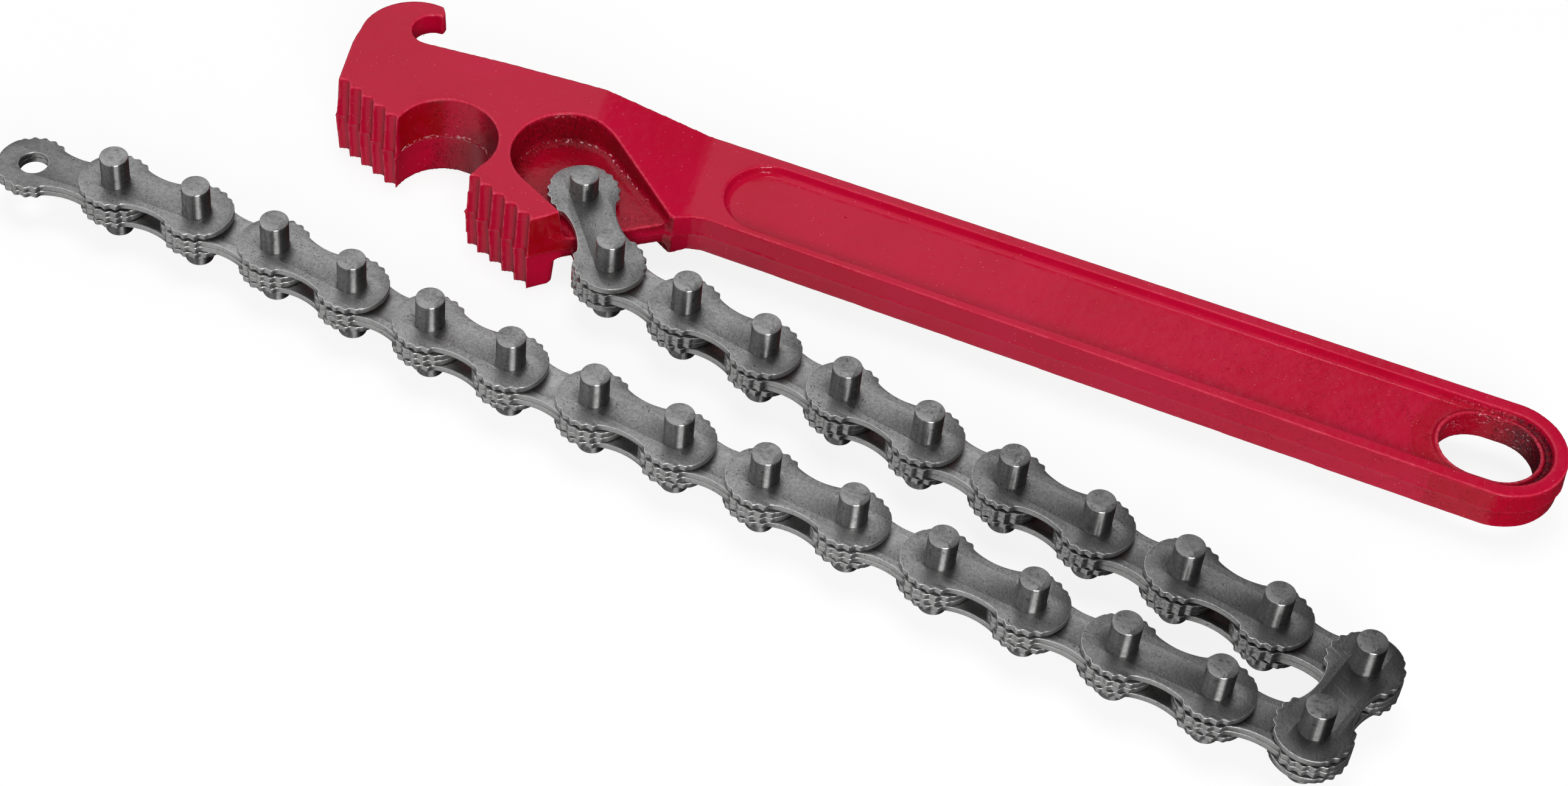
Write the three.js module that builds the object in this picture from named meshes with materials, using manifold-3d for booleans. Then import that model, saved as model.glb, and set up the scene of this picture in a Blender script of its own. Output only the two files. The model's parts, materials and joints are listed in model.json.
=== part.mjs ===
import * as THREE from 'three';
import Module from 'manifold-3d';
import { mergeVertices } from 'three/addons/utils/BufferGeometryUtils.js';

// A chain filter wrench: a cast handle with two serrated jaws and a double hook, and a flat
// steel chain pinned in the head. Millimetres. X runs along the handle from the head to the
// tail, Y across it towards the hook, Z up. While it is built, the anchor pin stands at x 0, y 0.

const degree = Math.PI / 180;

// The chain
const pitch = 16;
const linkCount = 26;
const pinRadius = 2.5;
const pinSides = 10;
const plateThickness = 1.15;
const innerPairGap = 0.1;
const outerPlateGap = 0.45;
const runningClearance = 0.1;
const pressClearance = 0.05;
const webClearance = 0.3;

// One chain plate
const plateEndRadius = 6.45;
const plateWaistHalfWidth = 3.9;
const plateToothDepth = 0.5;
const plateTeethPerShoulder = 4;
const plateFirstToothAngle = 59 * degree;
const plateToothAngle = 17.5 * degree;
const plateTipAngle = 30 * degree;
const plateHoleSides = 8;
const waistShares = [0.37, 0.63];

// How each link lies, as its heading from the handle's long axis, in degrees
const linkHeadings = [
  -50, -12.2, -12.1, -11.6, -11.8, -10.6, -11.7, -10, -10.9, -11.4, -103.6, 176.8, 173.6,
  172.5, 173.4, 172.2, 173.6, 173.8, 172.8, 174.2, 172.3, 171.5, 171.3, 174.5, 179, 183.5,
];

// The casting: its thickness along the handle and the draft of its mould
const headThickness = 17;
const barThickness = 8;
const rampStart = -1.8;
const rampEnd = 18.5;
const rampSkew = 9 * degree;
const draftInset = 0.35;
const partingBand = 0.5;
const overrun = 5;

// The pins are as long as the head is thick
const pinLength = headThickness;

// The jaws: one line of teeth that ends beside the anchor pin, broken by the notch
const jawEndX = -4.01;
const jawEndY = -14.95;
const jawAngle = -21 * degree;
const jawToothPitch = 3.06;
const jawToothDepth = 1.35;
const jawTeeth = 5;
const jawGap = 17.8;

// The round notch between the jaws, measured along the teeth from the first jaw's end
const notchAlong = 8.12;
const notchDepth = 4.28;
const notchRadius = 9;
const notchFirstAngle = 187 * degree;
const notchLastAngle = -25 * degree;
const notchSteps = 12;

// The hook, whose mouth takes a pin and whose slot takes the plates
const hookMouthX = -39.6;
const hookMouthY = 22.15;
const hookMouthRadius = 3.5;
const hookMouthSteps = 8;
const hookBackX = -41.6;
const hookBackY = 18.6;
const hookBackRadius = 10.3;
const hookBackLastAngle = 83 * degree;
const hookBackSteps = 7;
const hookTipX = -39.2;
const hookTipRound = 0.8;
const hookSideRise = 13;
const hookSideX = -51.5;
const prongThickness = 4.3;
const slotRadius = 7.6;
const slotRunX = -55;
const slotRunY = 17;
const slotSteps = 10;

// The back edge of the head, between the hook and the bar
const shoulderX = -8;
const shoulderY = 21.7;
const napeX = -24;
const napeY = 20.4;

// The pocket in each face of the head, and the web that it leaves
const webThickness = 4.4;
const webEdgeDistance = 8.64;
const webEdgeAngle = 38.5 * degree;
const webCornerRound = 1;
const endFaceAngle = 53 * degree;
const endFaceLength = 6.2;
const pocketX = -4.7;
const pocketY = 3.6;
const pocketRadius = 10.1;
const pocketSideAngle = -36.8 * degree;
const pocketLowerAngle = -24 * degree;
const pocketSteps = 12;
const neckCornerX = 16.6;
const neckCornerY = 0.9;
const neckBendX = 18.9;
const neckBendY = 2.7;

// The bar, its sunk panels and the slot that it hangs by
const barStartX = 21.5;
const barFrontY = 3.4;
const tailX = 160.4;
const tailY = 12.4;
const tailRadius = 10.8;
const tailSteps = 12;
const barBackX = 17;
const panelX = 29.8;
const panelY = 13;
const panelRadius = 8.2;
const panelSlope = 0.8;
const panelSteps = 8;
const rimWidth = 2.5;
const hangX = 158.1;
const hangY = 12.5;
const hangRadius = 6.9;
const hangHalfStraight = 1.5;
const lipWidth = 0.9;
const lipHeight = 0.6;

// Finishes
const castRed = new THREE.MeshStandardMaterial({ color: 0xb0203a, roughness: 0.35, metalness: 0 });
const plateSteel = new THREE.MeshStandardMaterial({ color: 0x82827f, roughness: 0.5, metalness: 0.9 });
const pinSteel = new THREE.MeshStandardMaterial({ color: 0xa5a5a2, roughness: 0.35, metalness: 0.95 });

const wasm = await Module();
wasm.setup();

// A closed geometry as a solid for cutting and joining
function toSolid(geometry) {
  const bare = geometry.clone();
  bare.deleteAttribute('normal');
  bare.deleteAttribute('uv');
  const merged = mergeVertices(bare);
  return new wasm.Manifold(new wasm.Mesh({
    numProp: 3,
    vertProperties: new Float32Array(merged.attributes.position.array),
    triVerts: new Uint32Array(merged.index.array),
  }));
}

function toGeometry(solid) {
  const mesh = solid.getMesh();
  const geometry = new THREE.BufferGeometry();
  geometry.setAttribute('position', new THREE.BufferAttribute(mesh.vertProperties, 3));
  geometry.setIndex(new THREE.BufferAttribute(mesh.triVerts, 1));
  return geometry;
}

function polar(x, y, radius, angle) {
  return new THREE.Vector2(x + radius * Math.cos(angle), y + radius * Math.sin(angle));
}

// Points on an arc, both ends included
function arc(x, y, radius, from, to, steps) {
  const turn = (to - from) / steps;
  return Array.from({ length: steps + 1 }, (_, i) => polar(x, y, radius, from + i * turn));
}

function prism(points, low, high, holes = []) {
  const shape = new THREE.Shape(points);
  shape.holes = holes.map((hole) => new THREE.Path(hole));
  const geometry = new THREE.ExtrudeGeometry(shape, { depth: high - low, bevelEnabled: false });
  return geometry.translate(0, 0, low);
}

// A prism whose two ends are drawn in by an inset over a given height each
function draftedPrism(points, low, high, endHeight, inset) {
  const geometry = new THREE.ExtrudeGeometry(new THREE.Shape(points), {
    depth: high - low - 2 * endHeight,
    bevelThickness: endHeight,
    bevelSize: inset,
    bevelOffset: -inset,
    bevelSegments: 1,
  });
  return geometry.translate(0, 0, low + endHeight);
}

// The outline round two circles, the first on the left
function stadium(firstX, firstY, firstRadius, secondX, secondY, secondRadius, steps) {
  const lean = Math.atan2(secondY - firstY, secondX - firstX);
  const quarter = Math.PI / 2;
  return [
    ...arc(secondX, secondY, secondRadius, lean - quarter, lean + quarter, steps),
    ...arc(firstX, firstY, firstRadius, lean + quarter, lean + 3 * quarter, steps),
  ];
}

const middle = headThickness / 2;
const webLow = middle - webThickness / 2;
const webHigh = middle + webThickness / 2;

const jawRun = jawTeeth * jawToothPitch;
const jawLength = 2 * jawRun + jawGap;

// A point on the line of teeth, from the hook's end of it
function jawPoint(along, depth) {
  const back = along - jawLength;
  return new THREE.Vector2(
    jawEndX + back * Math.cos(jawAngle) - depth * Math.sin(jawAngle),
    jawEndY + back * Math.sin(jawAngle) + depth * Math.cos(jawAngle),
  );
}

// Tooth tips on the jaw line, with a valley behind each gap
function jawTeethPoints(start) {
  const points = [jawPoint(start, 0)];
  for (let i = 0; i < jawTeeth; i += 1) {
    points.push(jawPoint(start + (i + 0.5) * jawToothPitch, jawToothDepth));
    points.push(jawPoint(start + (i + 1) * jawToothPitch, 0));
  }
  return points;
}

const jawEnd = jawPoint(jawLength, 0);
const notch = jawPoint(jawRun + notchAlong, notchDepth);
const blockCorner = polar(jawEnd.x, jawEnd.y, endFaceLength, endFaceAngle);

// Where the web's front edge meets a line through a point
function onWebEdge(point, angle) {
  const normal = polar(0, 0, 1, webEdgeAngle - Math.PI / 2);
  const step = polar(0, 0, 1, angle);
  const distance = (webEdgeDistance - point.dot(normal)) / step.dot(normal);
  return point.clone().addScaledVector(step, distance);
}

// The whole casting seen from above, anticlockwise from the first tooth
function castingOutline() {
  const webCorner = onWebEdge(jawEnd, endFaceAngle);
  const webEnd = onWebEdge(new THREE.Vector2(neckCornerX, neckCornerY), Math.PI);
  const webStep = polar(0, 0, webCornerRound, webEdgeAngle);
  const faceStep = polar(0, 0, webCornerRound, endFaceAngle);
  return [
    ...jawTeethPoints(0),
    ...arc(notch.x, notch.y, notchRadius, notchFirstAngle, notchLastAngle, notchSteps).slice(1),
    ...jawTeethPoints(jawRun + jawGap),
    webCorner.clone().sub(faceStep),
    webCorner.clone().add(webStep),
    webEnd,
    new THREE.Vector2(neckCornerX, neckCornerY),
    new THREE.Vector2(neckBendX, neckBendY),
    new THREE.Vector2(barStartX, barFrontY),
    ...arc(tailX, tailY, tailRadius, -Math.PI / 2, Math.PI / 2, tailSteps),
    new THREE.Vector2(barBackX, tailY + tailRadius),
    new THREE.Vector2(shoulderX, shoulderY),
    new THREE.Vector2(napeX, napeY),
    ...arc(hookMouthX, hookMouthY, hookMouthRadius, -Math.PI / 2, -3 * Math.PI / 2, hookMouthSteps),
    new THREE.Vector2(hookTipX, hookMouthY + hookMouthRadius + hookTipRound / 2),
    new THREE.Vector2(hookTipX, hookBackY + hookBackRadius - 2 * hookTipRound),
    ...arc(hookBackX, hookBackY, hookBackRadius, hookBackLastAngle, Math.PI, hookBackSteps),
    new THREE.Vector2(hookSideX, hookSideRise),
  ];
}

// The side view of the casting, thick at the head and thin along the bar
function thicknessProfile() {
  const barHalf = barThickness / 2;
  const headHalf = headThickness / 2;
  const left = slotRunX - headThickness;
  const right = tailX + tailRadius + headThickness;
  const points = [
    [left, middle - headHalf],
    [rampStart, middle - headHalf],
    [rampEnd, middle - barHalf],
    [right, middle - barHalf],
    [right, middle + barHalf],
    [rampEnd, middle + barHalf],
    [rampStart, middle + headHalf],
    [left, middle + headHalf],
  ].map(([x, z]) => new THREE.Vector2(x, z));
  const geometry = prism(points, -tailX, tailX);
  geometry.rotateX(Math.PI / 2);
  geometry.rotateZ(rampSkew);
  return toSolid(geometry);
}

// What the pocket takes out of a face: round at the back, open at the front
function pocketOutline() {
  const neckCorner = new THREE.Vector2(neckCornerX, neckCornerY);
  const sideNormal = pocketSideAngle + Math.PI / 2;
  const lowerNormal = pocketLowerAngle - Math.PI / 2;
  const far = 2 * pocketRadius;
  return [
    neckCorner,
    ...arc(pocketX, pocketY, pocketRadius, sideNormal, lowerNormal + 2 * Math.PI, pocketSteps),
    blockCorner,
    polar(blockCorner.x, blockCorner.y, -2 * endFaceLength, endFaceAngle),
    polar(neckCorner.x, neckCorner.y, far, webEdgeAngle - Math.PI / 2),
  ];
}

// A sunk panel in the bar, with sloping walls
function panelCutter(floor, away) {
  const outline = stadium(panelX, panelY, panelRadius, tailX, tailY, tailRadius - rimWidth, panelSteps);
  const depth = barThickness / 2 - webThickness / 2;
  const height = 2 * depth + overrun;
  const low = away > 0 ? floor : floor - height;
  return toSolid(draftedPrism(outline, low, low + height, depth, panelSlope));
}

// The slot that the bar hangs by, at a given radius
function hangOutline(radius) {
  const left = hangX - hangHalfStraight;
  const right = hangX + hangHalfStraight;
  return stadium(left, hangY, radius, right, hangY, radius, panelSteps);
}

function handleSolid() {
  const half = (headThickness - partingBand) / 2;
  let solid = toSolid(draftedPrism(castingOutline(), 0, headThickness, half, draftInset));
  solid = solid.intersect(thicknessProfile());
  solid = solid.subtract(toSolid(prism(pocketOutline(), webHigh, headThickness + overrun)));
  solid = solid.subtract(toSolid(prism(pocketOutline(), -overrun, webLow)));
  solid = solid.subtract(panelCutter(webHigh, 1));
  solid = solid.subtract(panelCutter(webLow, -1));
  const lip = prism(hangOutline(hangRadius + lipWidth), webLow - lipHeight, webHigh + lipHeight);
  solid = solid.add(toSolid(lip));
  solid = solid.subtract(toSolid(prism(hangOutline(hangRadius), -overrun, headThickness + overrun)));
  const slot = stadium(slotRunX, slotRunY, slotRadius, hookMouthX, hookMouthY, slotRadius, slotSteps);
  solid = solid.subtract(toSolid(prism(slot, prongThickness, headThickness - prongThickness)));
  const anchorHole = polygonHole(0, 0, pinRadius + runningClearance, 2 * plateHoleSides);
  solid = solid.subtract(toSolid(prism(anchorHole, 0, headThickness)));
  return solid;
}

// A polygon that a circle of the given radius fits inside
function polygonHole(x, y, radius, sides) {
  const outer = radius / Math.cos(Math.PI / sides);
  const turn = (2 * Math.PI) / sides;
  return Array.from({ length: sides }, (_, i) => polar(x, y, outer, (i + 0.5) * turn));
}

// One end of a plate, round the pin at x, anticlockwise, facing the way of the given angle
function plateEnd(x, facing) {
  const points = [];
  for (let i = plateTeethPerShoulder - 1; i >= 0; i -= 1) {
    const angle = plateFirstToothAngle + i * plateToothAngle;
    points.push(polar(x, 0, plateEndRadius - plateToothDepth, facing - angle - plateToothAngle / 2));
    points.push(polar(x, 0, plateEndRadius, facing - angle));
  }
  for (const angle of [-plateTipAngle, 0, plateTipAngle]) {
    points.push(polar(x, 0, plateEndRadius, facing + angle));
  }
  for (let i = 0; i < plateTeethPerShoulder; i += 1) {
    const angle = plateFirstToothAngle + i * plateToothAngle;
    points.push(polar(x, 0, plateEndRadius, facing + angle));
    points.push(polar(x, 0, plateEndRadius - plateToothDepth, facing + angle + plateToothAngle / 2));
  }
  return points;
}

// The hourglass outline of a plate, with its pins at x 0 and x pitch
function plateOutline() {
  const waist = waistShares.map((share) => new THREE.Vector2(share * pitch, plateWaistHalfWidth));
  const lower = waist.map((point) => new THREE.Vector2(point.x, -point.y));
  return [...plateEnd(pitch, 0), ...waist.reverse(), ...plateEnd(0, Math.PI), ...lower];
}

function plate(low, high, clearance, holePlaces) {
  const holes = holePlaces.map((x) => polygonHole(x, 0, pinRadius + clearance, plateHoleSides));
  return prism(plateOutline(), low, high, holes);
}

function flatPlate(low, clearance, holePlaces) {
  return plate(low, low + plateThickness, clearance, holePlaces);
}

// The first link's plates spread apart towards the anchor pin, to go round the web
function bentPlate(low, side, clearance, holePlaces) {
  const innerFace = Math.abs(low + plateThickness / 2 - middle) - plateThickness / 2;
  const spread = webThickness / 2 + webClearance - innerFace;
  const lift = (side * spread) / (1 - webEdgeDistance / pitch);
  const column = plate(-overrun, headThickness + overrun, clearance, holePlaces);
  const reach = 2 * plateEndRadius;
  const strip = [
    [-reach, low + lift],
    [0, low + lift],
    [pitch, low],
    [pitch + reach, low],
    [pitch + reach, low + plateThickness],
    [pitch, low + plateThickness],
    [0, low + plateThickness + lift],
    [-reach, low + plateThickness + lift],
  ].map(([x, z]) => new THREE.Vector2(x, z));
  const sheet = prism(strip, -reach, reach);
  sheet.rotateX(Math.PI / 2);
  return toSolid(column).intersect(toSolid(sheet));
}

function pinGeometry(x) {
  const pin = new THREE.CylinderGeometry(pinRadius, pinRadius, pinLength, pinSides);
  pin.rotateX(Math.PI / 2);
  return pin.translate(x, 0, pinLength / 2);
}

const innerUpperLow = middle + innerPairGap / 2;
const innerLowerLow = middle - innerPairGap / 2 - plateThickness;
const outerUpperLow = innerUpperLow + plateThickness + outerPlateGap;
const outerLowerLow = innerLowerLow - outerPlateGap - plateThickness;

function namedMesh(name, geometry, material) {
  const mesh = new THREE.Mesh(geometry, material);
  mesh.name = name;
  return mesh;
}

// The link that carries the anchor pin: its far pin is pressed into the lower plate
function firstLink(name) {
  const group = new THREE.Group();
  const upper = bentPlate(outerUpperLow, 1, pressClearance, [0, pitch]);
  const lower = bentPlate(outerLowerLow, -1, pressClearance, [0]);
  const lowerAndPin = lower.add(toSolid(pinGeometry(pitch)));
  group.add(namedMesh(`${name}_upper_plate`, toGeometry(upper), plateSteel));
  group.add(namedMesh(`${name}_lower_plate_and_pin`, toGeometry(lowerAndPin), plateSteel));
  group.add(namedMesh('anchor_pin', pinGeometry(0), pinSteel));
  return group;
}

// A link whose two pins are pressed into its lower plate
function outerLink(name) {
  const group = new THREE.Group();
  const upper = flatPlate(outerUpperLow, pressClearance, [0, pitch]);
  const pins = toSolid(pinGeometry(0)).add(toSolid(pinGeometry(pitch)));
  const lowerAndPins = toSolid(flatPlate(outerLowerLow, 0, [])).add(pins);
  group.add(namedMesh(`${name}_upper_plate`, upper, plateSteel));
  group.add(namedMesh(`${name}_lower_plate_and_pins`, toGeometry(lowerAndPins), plateSteel));
  return group;
}

// A link that turns on the pins of its neighbours
function innerLink(name) {
  const group = new THREE.Group();
  const upper = flatPlate(innerUpperLow, runningClearance, [0, pitch]);
  const lower = flatPlate(innerLowerLow, runningClearance, [0, pitch]);
  group.add(namedMesh(`${name}_upper_plate`, upper, plateSteel));
  group.add(namedMesh(`${name}_lower_plate`, lower, plateSteel));
  return group;
}

const wrench = new THREE.Group();
wrench.add(namedMesh('handle', toGeometry(handleSolid()), castRed));

const end = new THREE.Vector2(0, 0);
for (let i = 0; i < linkCount; i += 1) {
  const name = `link_${String(i + 1).padStart(2, '0')}`;
  const make = i === 0 ? firstLink : [outerLink, innerLink][i % 2];
  const link = make(name);
  const heading = linkHeadings[i] * degree;
  link.position.set(end.x, end.y, 0);
  link.rotation.z = heading;
  wrench.add(link);
  end.add(polar(0, 0, pitch, heading));
}

// The origin goes to the middle of the wrench's footprint, on the surface that it lies on
const box = new THREE.Box3().setFromObject(wrench);
const centre = box.getCenter(new THREE.Vector3());
wrench.position.set(-centre.x, -centre.y, -box.min.z);

export default wrench;
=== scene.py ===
import json
import math

import bmesh
import bpy
import numpy
from mathutils import Matrix, Vector


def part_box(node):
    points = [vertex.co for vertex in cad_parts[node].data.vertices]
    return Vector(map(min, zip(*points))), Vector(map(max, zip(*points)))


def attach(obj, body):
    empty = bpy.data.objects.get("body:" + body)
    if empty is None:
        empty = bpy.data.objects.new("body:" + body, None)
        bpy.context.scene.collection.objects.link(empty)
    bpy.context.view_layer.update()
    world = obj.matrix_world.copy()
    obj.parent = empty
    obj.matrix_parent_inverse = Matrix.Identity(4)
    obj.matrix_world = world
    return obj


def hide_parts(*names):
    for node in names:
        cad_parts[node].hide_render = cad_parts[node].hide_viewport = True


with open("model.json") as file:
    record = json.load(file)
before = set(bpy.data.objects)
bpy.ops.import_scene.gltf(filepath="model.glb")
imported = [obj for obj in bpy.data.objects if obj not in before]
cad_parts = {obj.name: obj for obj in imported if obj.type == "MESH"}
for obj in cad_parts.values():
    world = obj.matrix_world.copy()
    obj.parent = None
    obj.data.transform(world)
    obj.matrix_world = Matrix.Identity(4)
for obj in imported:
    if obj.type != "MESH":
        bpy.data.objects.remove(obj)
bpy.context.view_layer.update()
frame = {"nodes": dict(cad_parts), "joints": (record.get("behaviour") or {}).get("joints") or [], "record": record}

mm = 0.001


print("stage: frame loaded,", len(frame["nodes"]), "nodes")

# The photograph's viewpoint. Lengths in mm, turns in degrees.
camera = {
    "eye": (120.1, -372.46, 424.11),
    "turn": (41.025, -2.241, 23.807),
    "lens": 77.566,
    "sensor": 36.0,
    "shift": (0.11963, 0.04432),
    "clip": (0.01, 20),
}


def makeCamera():
    data = bpy.data.cameras.new("camera")
    data.lens = camera["lens"]
    data.sensor_width = camera["sensor"]
    data.sensor_fit = "HORIZONTAL"
    data.shift_x, data.shift_y = camera["shift"]
    data.clip_start, data.clip_end = camera["clip"]
    eye = bpy.data.objects.new("camera", data)
    eye.location = Vector(camera["eye"]) * mm
    eye.rotation_euler = [math.radians(turn) for turn in camera["turn"]]
    bpy.context.scene.collection.objects.link(eye)
    bpy.context.scene.camera = eye


makeCamera()
print("stage: camera placed")


# Small helpers for outlines, all in mm and anticlockwise
def polar(x, y, radius, degrees):
    turn = math.radians(degrees)
    return (x + radius * math.cos(turn), y + radius * math.sin(turn))


def arc(x, y, radius, first, last, step=5):
    count = max(2, math.ceil(abs(last - first) / step))
    return [polar(x, y, radius, first + (last - first) * i / count) for i in range(count + 1)]


def stadium(left, leftRadius, right, rightRadius):
    lean = math.degrees(math.atan2(right[1] - left[1], right[0] - left[0]))
    return (
        arc(*right, rightRadius, lean - 90, lean + 90)
        + arc(*left, leftRadius, lean + 90, lean + 270)
    )


def drawnIn(outline, inset):  # moves every side inwards by the same distance
    if inset == 0:
        return list(outline)
    moved = []
    for i, point in enumerate(outline):
        here = Vector(point)
        before = (here - Vector(outline[i - 1])).normalized()
        after = (Vector(outline[(i + 1) % len(outline)]) - here).normalized()
        normal = Vector((-before.y - after.y, before.x + after.x)).normalized()
        stretch = max(0.5, normal.dot(Vector((-before.y, before.x))))
        moved.append(tuple(here + normal * (inset / stretch)))
    return moved


def linked(name, mesh):
    piece = bpy.data.objects.new(name, mesh)
    bpy.context.scene.collection.objects.link(piece)
    return piece


def layered(name, outline, levels):  # a closed solid through (height, inset) levels
    shape = bmesh.new()
    rings = []
    for height, inset in levels:
        ring = [shape.verts.new((x, y, height)) for x, y in drawnIn(outline, inset)]
        rings.append(ring)
    for low, high in zip(rings, rings[1:]):
        for i in range(len(low)):
            j = (i + 1) % len(low)
            shape.faces.new((low[i], low[j], high[j], high[i]))
    shape.faces.new(rings[0][::-1])
    shape.faces.new(rings[-1])
    mesh = bpy.data.meshes.new(name)
    shape.to_mesh(mesh)
    shape.free()
    return linked(name, mesh)


def meshOf(piece):  # the evaluated piece as a plain mesh
    depsgraph = bpy.context.evaluated_depsgraph_get()
    return bpy.data.meshes.new_from_object(piece.evaluated_get(depsgraph))


def taken(piece):  # the piece made plain, with its modifiers gone
    mesh = meshOf(piece)
    piece.modifiers.clear()
    piece.data = mesh
    return piece


def carve(piece, tool, operation="DIFFERENCE"):
    cut = piece.modifiers.new("cut", "BOOLEAN")
    cut.operation = operation
    cut.solver = "EXACT"
    cut.object = tool
    taken(piece)
    bpy.data.objects.remove(tool)


# The casting. Lengths in mm from the anchor pin, turns in degrees.
casting = {
    "headThickness": 17.0,
    "barThickness": 8.0,
    "rampStart": -1.8,
    "rampEnd": 18.5,
    "rampSkew": 9.0,
    "rampSoftness": 1.2,
    "profileRun": (-100.0, 300.0),
    "profileSide": 200.0,
    "draft": 0.35,
    "flashHeight": 0.55,
    "flashReach": 0.1,
    "jawEnd": (-4.01, -14.95),
    "jawTurn": -21.0,
    "toothPitch": 3.06,
    "toothDepth": 1.35,
    "toothHollow": 0.11,
    "toothShares": (0.36, 0.7),
    "teeth": 5,
    "jawGap": 17.8,
    "notch": (-25.8, -2.0),
    "notchRadius": 9.0,
    "notchArc": (187.0, -25.0),
    "hookMouth": (-39.6, 22.15),
    "hookMouthRadius": 3.5,
    "hookBack": (-41.6, 18.6),
    "hookBackRadius": 10.3,
    "hookBackArc": (83.0, 180.0),
    "hookTipX": -39.2,
    "hookTipRound": 0.8,
    "hookSide": (-51.5, 13.0),
    "prongThickness": 4.3,
    "slotRun": (-55.0, 17.0),
    "slotRadius": 7.6,
    "shoulder": (-8.0, 21.7),
    "nape": (-24.0, 20.4),
    "webThickness": 4.4,
    "webEdgeDistance": 8.64,
    "webEdgeTurn": 38.5,
    "webCornerRound": 1.0,
    "endFaceTurn": 53.0,
    "endFaceLength": 6.2,
    "pocket": (-4.7, 3.6),
    "pocketRadius": 10.1,
    "pocketSideTurn": -36.8,
    "pocketLowerTurn": -24.0,
    "pocketFillet": 1.35,
    "pocketSlope": 0.5,
    "neckCorner": (16.6, 0.9),
    "neckBend": (18.9, 2.7),
    "barStart": (21.5, 3.4),
    "tail": (160.4, 12.4),
    "tailRadius": 10.8,
    "barBackX": 17.0,
    "panelLeft": (29.8, 13.0),
    "panelRadius": 8.2,
    "rimWidth": 2.5,
    "panelSlope": 0.55,
    "panelFillet": 0.7,
    "hang": (158.1, 12.5),
    "hangRadius": 6.9,
    "hangHalfStraight": 1.5,
    "lipWidth": 0.95,
    "lipHeight": 0.6,
    "lipEdge": [(0, 0.45), (0.35, 0.1), (0.9, 0)],
    "mouldShift": (-0.24, -0.01),
    "blockRound": 2.6,
    "roundSteps": 6,
    "filletSteps": (0, 0.04, 0.12, 0.25, 0.45, 0.7, 1),
    "noduleRadius": 0.36,
    "noduleChange": 0.25,
    "noduleFlatness": 0.8,
    "voxel": 0.21,
    "softenSteps": 2,
    "softenShare": 0.5,
    "bendBlur": 1,
    "bendLow": 1.0,
    "bendHigh": 2.6,
    "triangles": 190000,
    "beyond": 6.0,
}
headMiddle = casting["headThickness"] / 2  # half the head, and the height of the mid-plane
barHalf = casting["barThickness"] / 2
webHalf = casting["webThickness"] / 2


def jawPoint(back, depth):  # back along the line of teeth from its end, and in from it
    turn = math.radians(casting["jawTurn"])
    x, y = casting["jawEnd"]
    return (
        x - back * math.cos(turn) - depth * math.sin(turn),
        y - back * math.sin(turn) + depth * math.cos(turn),
    )


def jawTeeth(back):  # from a distance back towards the end: tips on the line, hollow lands
    points = [jawPoint(back, 0)]
    pitch, depth = casting["toothPitch"], casting["toothDepth"]
    for i in range(casting["teeth"]):
        along = back - i * pitch
        for share in casting["toothShares"]:
            sag = 4 * share * (1 - share) * casting["toothHollow"]
            points.append(jawPoint(along - share * pitch / 2 + sag, share * depth + sag))
        points.append(jawPoint(along - pitch / 2, depth))
        points.append(jawPoint(along - pitch, 0))
    return points


def onWebEdge(point, degrees):  # where a line through a point meets the web's front edge
    normal = Vector(polar(0, 0, 1, casting["webEdgeTurn"] - 90))
    step = Vector(polar(0, 0, 1, degrees))
    start = Vector(point)
    away = (casting["webEdgeDistance"] - start.dot(normal)) / step.dot(normal)
    return start + step * away


def castingOutline():
    run = casting["teeth"] * casting["toothPitch"]
    webCorner = onWebEdge(casting["jawEnd"], casting["endFaceTurn"])
    faceStep = Vector(polar(0, 0, casting["webCornerRound"], casting["endFaceTurn"]))
    webStep = Vector(polar(0, 0, casting["webCornerRound"], casting["webEdgeTurn"]))
    mouth = casting["hookMouth"]
    mouthRadius = casting["hookMouthRadius"]
    back = casting["hookBack"]
    tipRound = casting["hookTipRound"]
    tipX = casting["hookTipX"]
    tailX, tailY = casting["tail"]
    return [
        *jawTeeth(2 * run + casting["jawGap"]),
        *arc(*casting["notch"], casting["notchRadius"], *casting["notchArc"])[1:],
        *jawTeeth(run),
        tuple(webCorner - faceStep),
        tuple(webCorner + webStep),
        tuple(onWebEdge(casting["neckCorner"], 180)),
        casting["neckCorner"],
        casting["neckBend"],
        casting["barStart"],
        *arc(tailX, tailY, casting["tailRadius"], -90, 90),
        (casting["barBackX"], tailY + casting["tailRadius"]),
        casting["shoulder"],
        casting["nape"],
        *arc(*mouth, mouthRadius, -90, -270),
        (tipX, mouth[1] + mouthRadius + tipRound / 2),
        (tipX, back[1] + casting["hookBackRadius"] - 2 * tipRound),
        *arc(*back, casting["hookBackRadius"], *casting["hookBackArc"]),
        casting["hookSide"],
    ]


def pocketOutline(blockRound):  # the block beside it has a sharp or a round corner
    sideNormal = casting["pocketSideTurn"] + 90
    lowerNormal = casting["pocketLowerTurn"] - 90
    corner = casting["neckCorner"]
    run = casting["endFaceLength"]
    back = arc(*casting["pocket"], casting["pocketRadius"], sideNormal, lowerNormal + 360)
    blockCorner = Vector(polar(*casting["jawEnd"], run, casting["endFaceTurn"]))
    first = blockCorner + (Vector(back[-1]) - blockCorner).normalized() * blockRound
    last = Vector(polar(*blockCorner, -blockRound, casting["endFaceTurn"]))
    turn = [blockCorner]
    if blockRound:
        count = casting["roundSteps"]
        steps = [i / count for i in range(count + 1)]
        turn = [
            first * (1 - t) ** 2 + blockCorner * 2 * t * (1 - t) + last * t ** 2 for t in steps
        ]
    return [
        corner,
        *back,
        *[tuple(point) for point in turn],
        polar(*blockCorner, -2 * run, casting["endFaceTurn"]),
        polar(*corner, 2 * casting["pocketRadius"], casting["webEdgeTurn"] - 90),
    ]


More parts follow.
